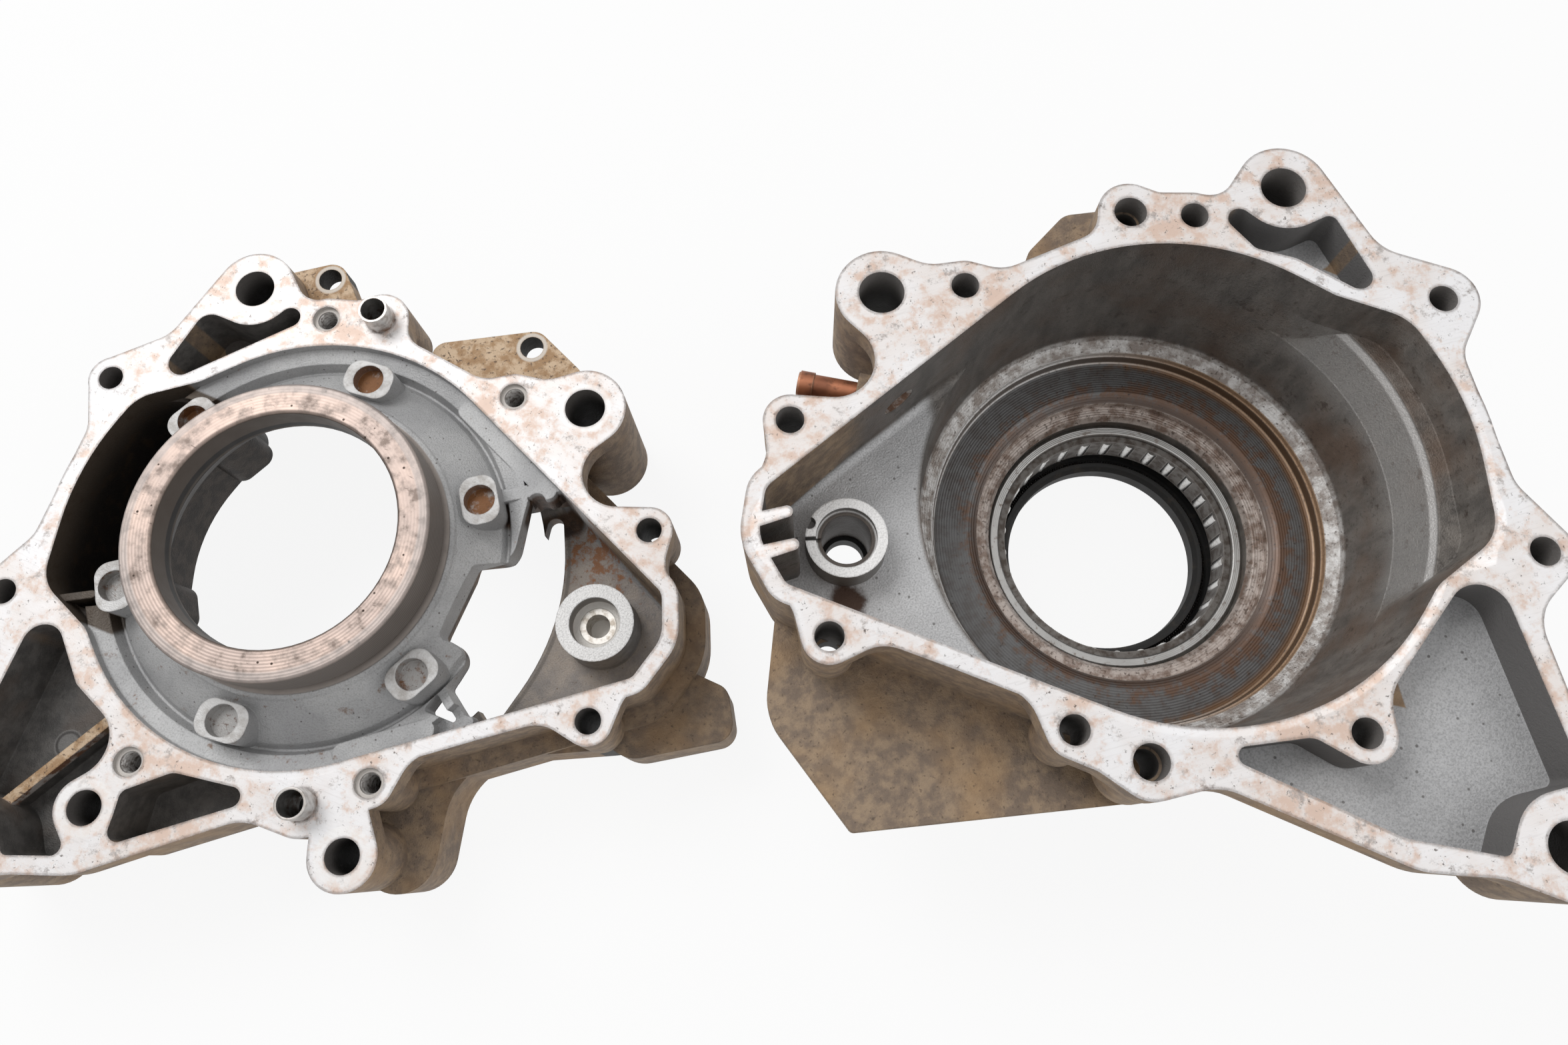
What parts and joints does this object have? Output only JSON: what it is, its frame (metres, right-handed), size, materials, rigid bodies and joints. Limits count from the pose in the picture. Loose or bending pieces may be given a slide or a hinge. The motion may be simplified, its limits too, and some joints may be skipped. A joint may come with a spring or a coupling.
{
  "type": "front differential housing",
  "caption": "Open two-part cast housing for a front differential, with a needle bearing, shaft seals, dowels and a breather.",
  "frame": {"origin": "on the differential axis of the right casting, at the level that both castings stand on", "axes": "+Z along the differential axis towards the mating faces; -X from the right casting towards the left one"},
  "size_m": [0.5067, 0.3195, 0.104],
  "materials": {
    "right_case": "as cast, machined face, stained",
    "left_case": "as cast, machined face, stained",
    "needle_bearing_cup": "polished",
    "bearing_cage": "satin",
    "needle_rollers": "polished",
    "axle_seal": "matt",
    "axle_seal_spring": "satin",
    "selector_shaft_seal": "matt",
    "selector_shaft_bush": "satin",
    "dowel_upper": "machined",
    "dowel_lower": "machined",
    "breather_fitting": "tarnished"
  },
  "bodies": {
    "housing": {"right_case": "right_case", "left_case": "left_case", "needle_bearing_cup": "needle_bearing_cup", "axle_seal": "axle_seal", "axle_seal_spring": "axle_seal_spring", "selector_shaft_seal": "selector_shaft_seal", "selector_shaft_bush": "selector_shaft_bush", "dowel_upper": "dowel_upper", "dowel_lower": "dowel_lower", "breather_fitting": "breather_fitting"},
    "bearing_cage": {"bearing_cage": "bearing_cage", "needle_rollers": "needle_rollers"}
  },
  "joints": [
    {"name": "cage_turn", "type": "hinge", "parent": "housing", "child": "bearing_cage", "pos_m": [0, 0, 0.018], "axis": [0, 0, 1], "continuous": true}
  ]
}
